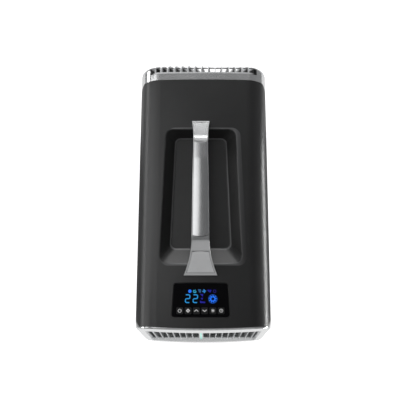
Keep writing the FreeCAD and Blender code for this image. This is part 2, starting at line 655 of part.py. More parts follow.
def handle_plan(inset, z0, z1):
    """The handle's outline seen from above: a slim bar between two flared feet."""
    stations = [(HANDLE_FRONT_Y, 31.2), (-152.0, 26.0), (-136.0, 20.8), (-118.0, 17.4), (-100.0, 16.2),
                (-40.0, 15.6), (20.0, 15.0), (80.0, 13.9), (108.0, 14.3), (126.0, 15.6), (HANDLE_REAR_Y, 17.2)]
    curves = []
    for side in (1, -1):
        spline = Part.BSplineCurve()
        spline.interpolate([vec(side * (half - inset), y, z0) for y, half in stations])
        curves.append(spline.toShape())
    ends = [Part.makeLine(vec(half - inset, y, z0), vec(inset - half, y, z0))
            for y, half in (stations[0], stations[-1])]
    wire = Part.Wire(Part.__sortEdges__(curves + ends))
    return prism(wire, vec(0, 0, z1 - z0))


def handle_side(drop):
    """The handle's outline seen from the side, its top lowered by a drop."""
    top = [vec(-60, HANDLE_FRONT_Y, 250), vec(-60, HANDLE_FRONT_Y, 290 - drop),
           vec(-60, -106, BAR_TOP_Z - 1.0 - drop), vec(-60, -60, BAR_TOP_Z - drop),
           vec(-60, 50, BAR_TOP_Z - drop), vec(-60, 92, BAR_TOP_Z - 2.0 - drop),
           vec(-60, HANDLE_REAR_Y, 292 - drop), vec(-60, HANDLE_REAR_Y, 250)]
    under = [vec(-60, 117, 250), vec(-60, 116, 276), vec(-60, 78, BAR_BOTTOM_Z),
             vec(-60, -84, BAR_BOTTOM_Z), vec(-60, -126, 270), vec(-60, -127, 250)]
    return prism(rounded_wire(top + under, 3.0), vec(120, 0, 0))


def handle_parts(shell):
    """Body, grip inlay, front foot cover and rear foot cover."""
    shell = shell.copy()
    shell.translate(vec(-FEATURE_X, 0, 0))
    whole = handle_plan(0.0, 240, 350).common(handle_side(0.0))
    skin = whole.cut(handle_side(INLAY))
    bed = skin.common(handle_plan(RAIL, 240, 350))
    inlay = skin.common(handle_plan(RAIL + 0.15, 240, 350))
    grip = inlay.common(block(-60, 60, NECK_SEAM_Y + SEAM, REAR_SEAM_Y - SEAM, 200, 400))
    front_cover = skin.common(handle_plan(RAIL + 1.35, 240, 350))
    front_cover = front_cover.common(block(-60, 60, HANDLE_FRONT_Y + 4.15, COVER_TOP_Y - 0.15, 286, 400))
    rear_cover = inlay.common(block(-60, 60, REAR_SEAM_Y + SEAM, HANDLE_REAR_Y - 3, 290, 400))
    body = whole.cut(bed.common(block(-60, 60, NECK_SEAM_Y, HANDLE_REAR_Y - 3 + SEAM, 290 - SEAM, 400)))
    front_bed = skin.common(handle_plan(RAIL + 1.2, 240, 350))
    body = body.cut(front_bed.common(block(-60, 60, HANDLE_FRONT_Y + 4, COVER_TOP_Y, 286, 400)))
    body = shifted(body.cut(shell)).cut(handle_screw_holes())
    body = max(body.Solids, key=lambda s: s.Volume)
    return body, shifted(grip), shifted(front_cover), shifted(rear_cover)


def handle_screw_holes():
    return Part.makeCompound([rod(3.4, vec(x, y, 240), vec(x, y, SCREW_TIP_Z + 0.4)) for x, y in HANDLE_SCREWS])


def make_handle_screws():
    """Pan-head screws driven up through the shell into the handle's feet."""
    screws = []
    for x, y in HANDLE_SCREWS:
        head = rod(6.4, vec(x, y, SCREW_HEAD_Z - 2.4), vec(x, y, SCREW_HEAD_Z))
        screws.append(head.fuse(rod(3.2, vec(x, y, SCREW_HEAD_Z - 1), vec(x, y, SCREW_TIP_Z))))
    return screws


# ---------------------------------------------------------------- display and keys

def key_places():
    first = FEATURE_X - KEY_PITCH * (len(KEYS) - 1) / 2
    return [first + KEY_PITCH * i for i in range(len(KEYS))]


def square_wire(x, y, z, size, radius):
    half = size / 2
    corners = [vec(x - half, y - half, z), vec(x + half, y - half, z),
               vec(x + half, y + half, z), vec(x - half, y + half, z)]
    return rounded_wire(corners, radius)


def make_display_panel():
    panel = shifted(prism(panel_wire(PANEL_UNDER), vec(0, 0, PANEL_THICK)))
    rim = [e for e in panel.Edges if e.BoundBox.ZMin > PANEL_TOP - 0.01]
    panel = softened(panel, rim, (0.8, 0.5))
    holes = [prism(square_wire(x, KEY_Y, PANEL_UNDER - 1, KEY_SIZE + 2 * KEY_GAP, 2.0), vec(0, 0, 6))
             for x in key_places()]
    return panel.cut(Part.makeCompound(holes))


def make_key(x):
    """A sprung cap with a flange under the panel and a stem above its switch."""
    cap = prism(square_wire(x, KEY_Y, PANEL_UNDER - 1.2, KEY_SIZE, 1.7), vec(0, 0, PANEL_THICK + 1.1))
    flange = prism(square_wire(x, KEY_Y, PANEL_UNDER - 1.4, KEY_SIZE + 1.8, 1.7), vec(0, 0, 1.2))
    stem = rod(4.0, vec(x, KEY_Y, PANEL_UNDER - 3.4), vec(x, KEY_Y, PANEL_UNDER - 1.0))
    return fused([cap, flange, stem])


def make_display_board():
    board = prism(trapezoid((PANEL_FRONT_Y + 4, 46), (PANEL_REAR_Y - 4, 43), BOARD_Z, 2.0), vec(0, 0, 1.6))
    posts = [rod(4.0, vec(x, y, BOARD_Z + 1.5), vec(x, y, PANEL_UNDER - 0.1))
             for x in (-41, 41) for y in (-188, -217)]
    return shifted(fused([board] + posts))


def make_display_module():
    outline = trapezoid((-221, 37), (-185, 37), BOARD_Z + 1.6, 1.5)
    return shifted(prism(outline, vec(0, 0, PANEL_UNDER - BOARD_Z - 1.7)))


def make_tact_switches():
    switches = []
    top = PANEL_UNDER - 3.4 - KEY_TRAVEL - 0.1
    for x in key_places():
        body = block(x - 3, x + 3, KEY_Y - 3, KEY_Y + 3, BOARD_Z + 1.6, top - 0.8)
        switches.append(body.fuse(rod(3.4, vec(x, KEY_Y, top - 1), vec(x, KEY_Y, top))))
    return switches


# ---------------------------------------------------------------- cooling circuit

def serpentine(y, half, z0, z1, passes, diameter):
    """One row of a coil: level passes joined by return bends."""
    pitch = (z1 - z0) / (passes - 1)
    edges = []
    for i in range(passes):
        z = z0 + pitch * i
        edges.append(Part.makeLine(vec(-half, y, z), vec(half, y, z)))
        if i < passes - 1:
            end = half if i % 2 == 0 else -half
            bulge = end + math.copysign(pitch / 2, end)
            turn = Part.Arc(vec(end, y, z), vec(bulge, y, z + pitch / 2), vec(end, y, z + pitch))
            edges.append(turn.toShape())
    return hollow_tube(Part.Wire(Part.__sortEdges__(edges)), vec(-half, y, z0), vec(1, 0, 0), diameter)


def hollow_tube(path, start, direction, diameter):
    """A tube with a one-millimetre wall swept along a path."""
    def swept(radius):
        profile = Part.Wire(Part.makeCircle(radius, start, direction))
        return path.makePipeShell([profile], True, False)
    return swept(diameter / 2).cut(swept(diameter / 2 - 1.0))


def make_coil(y0, y1, half, z0, z1, passes):
    """Thin fins threaded on two rows of tube."""
    rows = [y0 + (y1 - y0) * k for k in (0.28, 0.72)]
    pitch = 18.0
    first = z0 + ((z1 - z0) - pitch * (passes - 1)) / 2
    last = first + pitch * (passes - 1)
    tubes = [serpentine(y, half + 4, first, last, passes, 8.0) for y in rows]
    fin = block(-0.3, 0.3, y0, y1, z0, z1)
    holes = [rod(8.2, vec(-1, y, first + pitch * i), vec(1, y, first + pitch * i))
             for y in rows for i in range(passes)]
    fin = fin.cut(Part.makeCompound(holes))
    count = int(2 * half / 5.0)
    fins = []
    for i in range(count + 1):
        copy = fin.copy()
        copy.translate(vec(-half + 2 * half * i / count, 0, 0))
        fins.append(copy)
    return fins, tubes


def make_compressor():
    """A rotary compressor can with its suction accumulator strapped beside it."""
    x, y, z = COMPRESSOR_X, COMPRESSOR_Y, COMPRESSOR_Z
    can = rod(92, vec(x, y, z + 3), vec(x, y, z + 150))
    can = softened(can, can.Edges, (12.0, 8.0))
    foot = prism(square_wire(x, y, z, 98, 14), vec(0, 0, 3.5))
    bottle = rod(38, vec(LINE_X, y, z + 35), vec(LINE_X, y, z + 145))
    bottle = softened(bottle, bottle.Edges, (9.0, 6.0))
    strap = block(x + 40, x + 56, y - 8, y + 8, z + 84, z + 92)
    neck = rod(9, vec(x + 30, y, z + 52), vec(x + 60, y, z + 52))
    terminal = rod(30, vec(x, y, z + 148), vec(x, y, z + 166))
    pump_room = rod(66, vec(x, y, z + 40), vec(x, y, z + 130))
    bottle_room = rod(32, vec(LINE_X, y, z + 46), vec(LINE_X, y, z + 134))
    return fused([can, foot, bottle, strap, neck, terminal]).cut(pump_room).cut(bottle_room)


def make_compressor_mounts():
    """Rubber grommets between the compressor's foot and the base pan."""
    low = BASE_Z + WALL
    places = [(COMPRESSOR_X + dx, COMPRESSOR_Y + dy) for dx in (-38, 38) for dy in (-38, 38)]
    return [rod(16, vec(x, y, low), vec(x, y, COMPRESSOR_Z)) for x, y in places]


def bent_tube(points, bend, diameter):
    """A tube along straight runs joined by tangent arcs."""
    edges = []
    start = points[0]
    for i in range(1, len(points) - 1):
        back = points[i - 1].sub(points[i]).normalize()
        ahead = points[i + 1].sub(points[i]).normalize()
        half = back.getAngle(ahead) / 2
        trim = bend / math.tan(half)
        first = points[i].add(vec(*back).multiply(trim))
        last = points[i].add(vec(*ahead).multiply(trim))
        centre = points[i].add(back.add(ahead).normalize().multiply(bend / math.sin(half)))
        middle = centre.add(points[i].sub(centre).normalize().multiply(bend))
        edges.append(Part.makeLine(start, first))
        edges.append(Part.Arc(first, middle, last).toShape())
        start = last
    edges.append(Part.makeLine(start, points[-1]))
    return hollow_tube(Part.Wire(edges), points[0], points[1].sub(points[0]), diameter)


def make_refrigerant_lines():
    x, y, z = COMPRESSOR_X, COMPRESSOR_Y, COMPRESSOR_Z
    suction = [vec(LINE_X, y, z + 146), vec(LINE_X, y, z + 182), vec(LINE_X, -34, z + 182),
               vec(LINE_X, -34, LINE_Z), vec(LINE_X, -100, LINE_Z)]
    discharge = [vec(x - 26, y, z + 151), vec(x - 26, y, z + 196), vec(x - 26, 62, z + 196), vec(-90, 76, z + 196),
                 vec(-90, 76, 120)]
    return [bent_tube(suction, 12.0, 10.0), bent_tube(discharge, 10.0, 7.0)]


# ---------------------------------------------------------------- fans

def make_fan(y, motor_side):
    """An axial fan with its shaft; motor_side is +1 when the motor is behind it."""
    hub = rod(52, vec(0, y - 13, FAN_Z), vec(0, y + 13, FAN_Z))
    hub = softened(hub, end_edges(hub, y - 13 * motor_side), (5.0, 3.0))
    blades = []
    count = 7
    for i in range(count):
        root = blade_section(24.0, 30.0, 26.0, y)
        tip = blade_section(FAN_R - 4.0, 52.0, 14.0, y)
        blade = Part.makeLoft([root, tip], True, True)
        blade.rotate(vec(0, y, FAN_Z), vec(0, 1, 0), 360.0 * i / count)
        blades.append(blade)
    shaft = rod(SHAFT_D, vec(0, y, FAN_Z), vec(0, y + motor_side * 44, FAN_Z))
    return fused([hub, shaft] + blades)


def blade_section(radius, chord, rise, y):
    """A blade's section at a radius: a thin slanted strip."""
    half = chord / 2
    thick = 1.1
    z = FAN_Z + radius
    return polygon([vec(-half, y - rise / 2 - thick, z), vec(half, y + rise / 2 - thick, z),
                    vec(half, y + rise / 2 + thick, z), vec(-half, y - rise / 2 + thick, z)])


def make_fan_motor(y, motor_side):
    """A motor with a bore for the fan's shaft and a spigot on its mounting plate."""
    near = y + motor_side * 16
    far = y + motor_side * 47
    can = rod(54, vec(0, near, FAN_Z), vec(0, far, FAN_Z))
    bore = rod(SHAFT_D + 2 * FIT, vec(0, near - motor_side, FAN_Z), vec(0, y + motor_side * 45, FAN_Z))
    return softened(can, end_edges(can, far), (3.0, 2.0)).cut(bore)


def make_shroud(y, motor_side, height):
    """A plate with a round duct and arms that hold the motor."""
    back = y + motor_side * 20
    lo, hi = sorted((back - motor_side * 2, back + motor_side * 2))
    face = plate(108, lo, hi, BASE_Z + 9, height, 20.0)
    ring_y = sorted((y - motor_side * 16, back + motor_side * 2))
    ring = rod(2 * FAN_R + 10, vec(0, ring_y[0], FAN_Z), vec(0, ring_y[1], FAN_Z))
    duct = rod(2 * FAN_R + 4, vec(0, ring_y[0] - 30, FAN_Z), vec(0, ring_y[1] + 30, FAN_Z))
    arms = [block(-100, 100, lo, hi, FAN_Z - 5, FAN_Z + 5), block(-5, 5, lo, hi, FAN_Z - 100, FAN_Z + 100)]
    cup_y = sorted((lo, y + motor_side * 34))
    cup = rod(60, vec(0, cup_y[0], FAN_Z), vec(0, cup_y[1], FAN_Z))
    bore = rod(54.2, vec(0, cup_y[0] - 30, FAN_Z), vec(0, cup_y[1] + 30, FAN_Z))
    body = fused([face, ring]).cut(duct)
    return fused([body, cup] + arms).cut(bore)


# ---------------------------------------------------------------- electronics

def make_main_board():
    """The control board on the right-hand wall, with its heat sink and capacitors."""
    board = block(84.0, 85.8, -40, 62, 40, 182)
    sink = [block(70, 84.5, -34, -4, 60, 120)] + [block(60, 71, y, y + 1.6, 60, 120) for y in range(-34, -4, 4)]
    cans = [rod(22, vec(84.5, 30, z), vec(56, 30, z)) for z in (66, 94, 122)]
    relay = block(68, 84.5, 6, 26, 140, 160)
    posts = [rod(6, vec(85, y, z), vec(104, y, z)) for y in (-34, 56) for z in (46, 176)]
    return fused([board, relay] + sink + cans + posts)


# ---------------------------------------------------------------- build

def main():
    os.makedirs("parts", exist_ok=True)
    shell = make_top_shell()
    export("top_shell", shell)
    export("base_pan", make_base_pan())
    export("rubber_feet", *make_feet())
    export("base_screws", *make_base_screws())
    grille = make_intake_grille()
    export("right_intake_grille", grille)
    export("left_intake_grille", mirrored(grille))
    export("air_filters", make_air_filter(), mirrored(make_air_filter()))
    export("bulkhead", make_bulkhead())

    export("front_frame", make_front_frame())
    export("rear_frame", make_rear_frame())
    export("rear_grille", make_rear_grille())
    export("power_inlet", make_power_inlet())
    export("drain_plug", make_drain_plug())

    export("lead_vane", make_lead_vane())
    export("vane_strip", make_vane_strip())
    for i, x in enumerate(vane_places()[1:], 1):
        export("vane_%02d" % i, make_vane(x, VANE_THICK))
    export("link_bar", make_link_bar())

    body, grip, front_cover, rear_cover = handle_parts(shell)
    export("handle_body", body)
    export("handle_grip", grip)
    export("handle_front_cover", front_cover)
    export("handle_rear_cover", rear_cover)
    export("handle_screws", *make_handle_screws())

    export("display_panel", make_display_panel())
    for name, x in zip(KEYS, key_places()):
        export("key_" + name, make_key(x))
    export("display_board", make_display_board())
    export("display_module", make_display_module())
    export("tact_switches", *make_tact_switches())

    for name, y0, y1 in (("evaporator", -152, -114), ("condenser", 88, 126)):
        fins, tubes = make_coil(y0, y1, 92, 26, 252, 12)
        export(name + "_fins", *fins)
        export(name + "_tubes", *tubes)
    export("compressor", make_compressor())
    export("compressor_mounts", *make_compressor_mounts())
    export("refrigerant_lines", *make_refrigerant_lines())

    for name, y, motor_side, height in (("evaporator", -214, 1, 258), ("condenser", 200, -1, 258)):
        export(name + "_fan", make_fan(y, motor_side))
        export(name + "_motor", make_fan_motor(y, motor_side))
        export(name + "_shroud", make_shroud(y, motor_side, height))
    export("main_board", make_main_board())


main()
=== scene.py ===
"""The portable spot air conditioner's looks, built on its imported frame.

Metres. +Z is up, +Y is the rear, and the floor is at 0.
"""

import math

import bmesh
import bpy
from mathutils import Matrix, Vector


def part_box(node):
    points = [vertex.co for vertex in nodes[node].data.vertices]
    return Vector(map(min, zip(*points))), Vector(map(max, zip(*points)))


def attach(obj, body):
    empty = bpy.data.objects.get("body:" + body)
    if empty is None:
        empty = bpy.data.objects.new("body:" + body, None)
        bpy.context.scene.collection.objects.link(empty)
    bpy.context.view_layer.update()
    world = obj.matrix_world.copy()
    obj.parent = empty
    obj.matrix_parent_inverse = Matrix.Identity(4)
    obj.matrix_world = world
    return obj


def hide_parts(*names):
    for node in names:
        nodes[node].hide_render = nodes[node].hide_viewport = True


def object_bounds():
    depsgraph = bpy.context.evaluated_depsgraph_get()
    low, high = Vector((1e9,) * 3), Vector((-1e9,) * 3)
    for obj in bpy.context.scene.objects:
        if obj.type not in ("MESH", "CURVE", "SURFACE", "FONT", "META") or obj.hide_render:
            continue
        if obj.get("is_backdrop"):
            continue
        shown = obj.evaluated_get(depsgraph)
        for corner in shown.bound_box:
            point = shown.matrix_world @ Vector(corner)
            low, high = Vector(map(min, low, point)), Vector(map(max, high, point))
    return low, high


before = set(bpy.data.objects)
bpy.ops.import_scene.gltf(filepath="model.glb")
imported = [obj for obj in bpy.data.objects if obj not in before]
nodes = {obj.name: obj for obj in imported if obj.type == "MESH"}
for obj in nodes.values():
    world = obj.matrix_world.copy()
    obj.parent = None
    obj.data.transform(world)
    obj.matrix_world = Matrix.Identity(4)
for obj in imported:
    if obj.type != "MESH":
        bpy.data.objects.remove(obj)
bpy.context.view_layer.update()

# ---------------------------------------------------------------- top shell
# One big moulding of charcoal ABS with a fine spark-eroded grain. It drops over the base
# pan and is screwed up from below, and it carries the handle and the display.


class Shade:
    """A socket in a material's tree. Sums written on it become Math nodes."""

    def __init__(self, tree, socket=None):
        self.tree = tree
        self.socket = socket

    def node(self, kind, settings=None, links=None, out=0):
        """Adds a node: its settings first, then values or links for its sockets."""
        made = self.tree.nodes.new(kind)
        for key, value in (settings or {}).items():
            if key == "stops":
                ramp = made.color_ramp
                while len(ramp.elements) < len(value):
                    ramp.elements.new(1.0)
                for element, (place, colour) in zip(ramp.elements, value):
                    element.position = place
                    element.color = (*colour, 1.0)
            else:
                setattr(made, key, value)
        for key, value in (links or {}).items():
            if isinstance(value, Shade):
                self.tree.links.new(value.socket, made.inputs[key])
            else:
                made.inputs[key].default_value = value
        return Shade(self.tree, made.outputs[out])

    def sum(self, operation, *terms):
        return self.node("ShaderNodeMath", {"operation": operation}, dict(enumerate(terms)))

    def __add__(self, other):
        return self.sum("ADD", self, other)

    def __sub__(self, other):
        return self.sum("SUBTRACT", self, other)

    def __mul__(self, other):
        return self.sum("MULTIPLY", self, other)

    def __rsub__(self, other):
        return self.sum("SUBTRACT", other, self)

    __radd__ = __add__
    __rmul__ = __mul__

    def between(self, low, high):
        """0 below low, 1 above high, and a smooth step from one to the other."""
        links = {"Value": self, "From Min": low, "From Max": high}
        return self.node("ShaderNodeMapRange", {"interpolation_type": "SMOOTHSTEP"}, links)

    def tint(self, first, second):
        """A colour mixed from two by this value."""
        pair = [c if isinstance(c, Shade) else (*c, 1.0) for c in (first, second)]
        return self.node("ShaderNodeMix", {"data_type": "RGBA"}, {0: self, 6: pair[0], 7: pair[1]}, out=2)


def finish_for(name, **constants):
    """A new material, its shader, and the piece's own coordinates to lay patterns on."""
    made = bpy.data.materials.new(name)
    made.use_nodes = True
    shader = made.node_tree.nodes["Principled BSDF"]
    for key, value in constants.items():
        shader.inputs[key.replace("_", " ")].default_value = value
    return made, shader, Shade(made.node_tree).node("ShaderNodeTexCoord", out=3)


def drive(shader, **sockets):
    """Links what varies over the surface to the shader."""
    for key, value in sockets.items():
        value.tree.links.new(value.socket, shader.inputs[key.replace("_", " ")])


def noise(place, scale, detail=2.0, stretch=(1, 1, 1)):
    """Noise with so many features per metre, drawn out along an axis by a small stretch."""
    place = place.node("ShaderNodeMapping", None, {"Vector": place, "Scale": stretch})
    return place.node("ShaderNodeTexNoise", None, {"Vector": place, "Scale": scale, "Detail": detail})


def bumped(height, depth):
    """A normal from a height, its depth in metres."""
    return height.node("ShaderNodeBump", None, {"Height": height, "Distance": depth})


def along(place, axis):
    """One coordinate of a place: 0 across, 1 front to back, 2 up."""
    return place.node("ShaderNodeSeparateXYZ", None, {"Vector": place}, out=axis)


def moulded(name, colour, rough, grain=2600.0, depth=0.00005, dust=0.0, painted_light=None):
    """Moulded plastic: grain in the surface, faint flow marks in its colour and gloss, and, where given,
    painted shade and a painted highlight.
    """
    made, shader, place = finish_for(name)
    fine = noise(place, grain, 1.0)
    broad = noise(place, 7.0, 4.0)
    scuff = noise(place, 60.0, 5.0, (1, 0.25, 1)).between(0.6, 0.78)
    body = broad.between(0.3, 0.7).tint([c * 0.9 for c in colour], [c * 1.12 for c in colour])
    if dust:
        body = (scuff * dust).tint(body, (0.4, 0.39, 0.37))
    if painted_light:
        # Painted shade darkens where the first mask is 1, and a painted highlight lightens where the second
        # mask is 1.
        deep, painted_highlight = painted_light(place)
        body = deep.tint(body, [c * 0.18 for c in colour])
        body = painted_highlight.tint(body, [c * 5 for c in colour])
        rough = rough + deep * 0.3
    drive(shader, Base_Color=body, Normal=bumped(fine, depth),
          Roughness=rough + (broad - 0.5) * 0.08 + (fine - 0.5) * 0.06 + scuff * 0.03)
    return made


def dress(made, *names):
    """Gives CAD nodes one finish all over."""
    for name in names:
        slots = nodes[name].data.materials
        slots.clear()
        slots.append(made)


shell_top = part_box("top_shell")[1][2]
RECESS_MIDDLE = -0.0085
RECESS_TAPER = 0.035
RECESS_CORNER = 0.015
RECESS_HALF = (0.075 - RECESS_CORNER, 0.1355 - RECESS_CORNER)
FRONT_WALL_SLOPE = 1.5


def recess_painted_shade_and_highlight(place):
    """The hand recess: its steep walls, darkened with painted shade and made rougher, and the bends that
    edge them, paler with a painted highlight.
    """
    x, y, z = [along(place, axis) for axis in range(3)]
    down = shell_top - z
    middle = y - RECESS_MIDDLE
    sideways = x.sum("ABSOLUTE", x) + y * RECESS_TAPER - RECESS_HALF[0]
    endways = middle.sum("ABSOLUTE", middle) - RECESS_HALF[1]
    sideways = sideways.sum("MAXIMUM", sideways, 0.0)
    endways = endways.sum("MAXIMUM", endways, 0.0)
    reach = sideways * sideways + endways * endways
    inside = 1 - reach.sum("SQRT", reach).between(RECESS_CORNER + 0.0014, RECESS_CORNER + 0.0026)
    past_front_wall = (y - down * FRONT_WALL_SLOPE).between(-0.141, -0.135)
    # The walls get painted shade, and the two bends round the recess get a painted highlight.
    deep = down.between(0.002, 0.004) * (1 - down.between(0.0205, 0.0228)) * inside * past_front_wall
    upper_painted_highlight = 1 - down.between(0.0010, 0.0024)
    lower_painted_highlight = down.between(0.0205, 0.0220) * (1 - down.between(0.0230, 0.0237))
    return deep, (upper_painted_highlight + lower_painted_highlight) * inside


# The recess walls carry painted shade, and the bends that edge them carry a painted highlight.
dress(moulded("charcoal_grain", (0.0255, 0.0257, 0.0262), 0.31, painted_light=recess_painted_shade_and_highlight), "top_shell")

# ---------------------------------------------------------------- base pan, feet and base screws
# The lower tray that takes the weight: coarser black ABS, with a little dust low down. Four
# rubber feet plug into it, and twelve zinc-plated screws go up into the shell.

dress(moulded("pan_grain", (0.014, 0.014, 0.0145), 0.46, 1400.0, 0.0001, 0.12), "base_pan")
dress(moulded("rubber_feet_matt", (0.02, 0.019, 0.018), 0.75, 1900.0, 0.00008, 0.3), "rubber_feet")


def metal(name, colour, rough, grain=900.0, stretch=(1, 1, 1), depth=0.00001, stain=None, metallic=1.0):
    """Bare or plated metal: drawn or brushed grain, with clouding in its shine."""
    made, shader, place = finish_for(name, Metallic=metallic)
    fine = noise(place, grain, 3.0, stretch)
    broad = noise(place, 22.0, 4.0)
    shine = broad.between(0.3, 0.7).tint([c * 0.94 for c in colour], colour)
    if stain:
        shine = (noise(place, 45.0, 6.0).between(0.55, 0.75) * 0.7).tint(shine, stain)
    drive(shader, Base_Color=shine, Normal=bumped(fine, depth),
          Roughness=rough + (broad - 0.5) * 0.05 + (fine - 0.5) * 0.06)
    return made


zinc = metal("zinc_plate", (0.62, 0.62, 0.58), 0.33)
dress(zinc, "base_screws", "handle_screws")

# ---------------------------------------------------------------- side intakes and their filters
# Clip-in grilles of the shell's own plastic, each with a washable nylon mesh behind it that
# keeps lint off the rear coil.

intake_grain = moulded("intake_grain", (0.017, 0.017, 0.0175), 0.42, 2000.0)
dress(intake_grain, "left_intake_grille", "right_intake_grille")
filter_cloth, shader, place = finish_for("filter_mesh", Roughness=0.8)
warp = noise(place, 900.0, 0.0, (1, 0.02, 1))
weft = noise(place, 900.0, 0.0, (1, 1, 0.02))
knots = (warp * weft).between(0.18, 0.34)
drive(shader, Base_Color=knots.tint((0.012, 0.013, 0.014), (0.09, 0.095, 0.1)), Normal=bumped(knots, 0.0003))
dress(filter_cloth, "air_filters")

# ---------------------------------------------------------------- end frames
# Two ABS rings plated bright silver, one round the air outlet and one round the rear grille.
# They hook into the shell's open ends, and their thin edges show all round the case.

plating = metal("bright_plating", (0.83, 0.835, 0.84), 0.15, 1500.0, (1, 1, 1), 0.000003, metallic=0.8)
dress(plating, "front_frame", "rear_frame")

# ---------------------------------------------------------------- rear grille
# Swirling blades in one moulding over the rear fan. Their outer edges are silvered, and the plastic between
# and behind them is black, which also serves as painted shade deeper in the grille.


def edged(name, outer, inner, rim):
    """Plastic silvered where rim is 1 and bare where it is 0."""
    made, shader, place = finish_for(name)
    where = rim(place)
    fine = noise(place, 1800.0, 1.0)
    broad = noise(place, 12.0, 3.0)
    silver = broad.between(0.3, 0.7).tint([c * 0.92 for c in outer], outer)
    drive(shader, Base_Color=where.tint(inner, silver), Normal=bumped(fine, 0.00003),
          Metallic=where * 0.35, Roughness=0.5 - where * 0.2 + (fine - 0.5) * 0.08)
    return made


grille_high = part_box("rear_grille")[1]


# 1 on the outer few millimetres of the blades. Deeper in, the blades are painted near-black: partly black
# plastic and partly painted shade between the blades.
def silver_edges_over_painted_shade(place):
    back = along(place, 1).between(grille_high[1] - 0.009, grille_high[1] - 0.003)
    crown = along(place, 2).between(grille_high[2] - 0.007, grille_high[2] - 0.003)
    return back.sum("MAXIMUM", back, crown)


dress(edged("silvered_blades_and_painted_shade", (0.86, 0.87, 0.88), (0.004, 0.004, 0.004), silver_edges_over_painted_shade), "rear_grille")

# ---------------------------------------------------------------- outlet vanes
# Sixteen upright vanes hang on pins in the front frame, and one bar links them so that they
# turn together. The wide middle one, which is pushed by hand, carries a mint strip.

nose_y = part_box("vane_01")[0][1]


def vane_nose(place):
    return 1 - along(place, 1).between(nose_y + 0.0012, nose_y + 0.0036)


vane_paint = edged("vane_silver", (0.82, 0.83, 0.84), (0.42, 0.425, 0.43), vane_nose)
dress(vane_paint, "lead_vane", *["vane_%02d" % i for i in range(1, 16)])
dress(moulded("link_white", (0.78, 0.79, 0.79), 0.35, 2200.0, 0.00003), "link_bar")

# The mint strip is given a faint glow of painted light, though nothing lights it from within.
mint, shader, place = finish_for("mint_strip_painted_glow", Coat_Weight=0.4, Emission_Strength=0.35)
streak = noise(place, 300.0, 2.0, (1, 1, 0.15))
drive(shader, Base_Color=streak.tint((0.20, 0.78, 0.62), (0.38, 0.95, 0.80)),
      Emission_Color=streak.tint((0.15, 0.80, 0.62), (0.3, 0.95, 0.8)),
      Roughness=0.3 + (streak - 0.5) * 0.1)
dress(mint, "vane_strip")

# ---------------------------------------------------------------- handle
# A die-cast bar with flared feet, screwed up through the shell. Its satin grip is a crowned
# inlay between two thin raised rails, and a cover closes each foot.

BAR_PLAN = ((-165, 31.2), (-152, 26.0), (-136, 20.8), (-118, 17.4), (-100, 16.2), (-40, 15.6), (20, 15.0),
            (80, 13.9), (108, 14.3), (126, 15.6), (141, 17.2))
BAR_TOP = ((-165, 290), (-111, 327.2), (-106, 330), (-100, 331.3), (-60, 332), (50, 332), (86, 330.4),
           (92, 329.4), (97, 326.4), (141, 292))
BAR_UNDER = ((-165, 287.5), (-145, 287.2), (-122.3, 273.2), (-88, 306.4), (-84, 309), (-79, 310), (74, 310),
             (78, 309.2), (82, 306.4), (116, 275.5), (117.5, 270.5), (126, 286.6), (141, 287.3))
RAIL = 1.7
INLAY_DEPTH = 2.4
bar_x = sum(corner[0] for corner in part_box("handle_body")) / 2


def through(table, y):
    """A smooth value at y through a table of (y, value)."""
    for i in range(len(table) - 2):
        if y < table[i + 1][0]:
            break
    else:
        i = len(table) - 2
    (y0, v0), (y1, v1) = table[i], table[i + 1]
    before = table[max(i - 1, 0)]
    after = table[min(i + 2, len(table) - 1)]
    slope0 = (v1 - before[1]) / (y1 - before[0])
    slope1 = (after[1] - v0) / (after[0] - y0)
    t = (y - y0) / (y1 - y0)
    span = y1 - y0
    return ((2 * t ** 3 - 3 * t ** 2 + 1) * v0 + (t ** 3 - 2 * t ** 2 + t) * span * slope0
            + (3 * t ** 2 - 2 * t ** 3) * v1 + (t ** 3 - t ** 2) * span * slope1)


def straight(table, y):
    """The value at y on straight runs between a table's points."""
    for (y0, v0), (y1, v1) in zip(table, table[1:]):
        if y <= y1:
            return v0 + (v1 - v0) * (y - y0) / (y1 - y0)
    return table[-1][1]


def as_object(name, mesh, made, body):
    """A new piece from a mesh, with its finish and the body that carries it."""
    obj = bpy.data.objects.new(name, mesh)
    bpy.context.scene.collection.objects.link(obj)
    mesh.materials.append(made)
    for face in mesh.polygons:
        face.use_smooth = True
    mesh.set_sharp_from_angle(angle=math.radians(32))
    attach(obj, body)
    return obj


def lofted(name, rings, made, body):
    """A closed skin over rings of points, given in millimetres from the bar's middle line."""
    mesh = bpy.data.meshes.new(name)
    build = bmesh.new()
    loops = []
    for ring in rings:
        loops.append([build.verts.new(((x + bar_x * 1000) / 1000, y / 1000, z / 1000)) for x, y, z in ring])
    for first, second in zip(loops, loops[1:]):
        for i in range(len(first)):
            j = (i + 1) % len(first)
            build.faces.new((first[i], first[j], second[j], second[i]))
    build.faces.new(loops[0][::-1])
    build.faces.new(loops[-1])
    bmesh.ops.recalc_face_normals(build, faces=build.faces[:])
    build.to_mesh(mesh)
    build.free()
    return as_object(name, mesh, made, body)


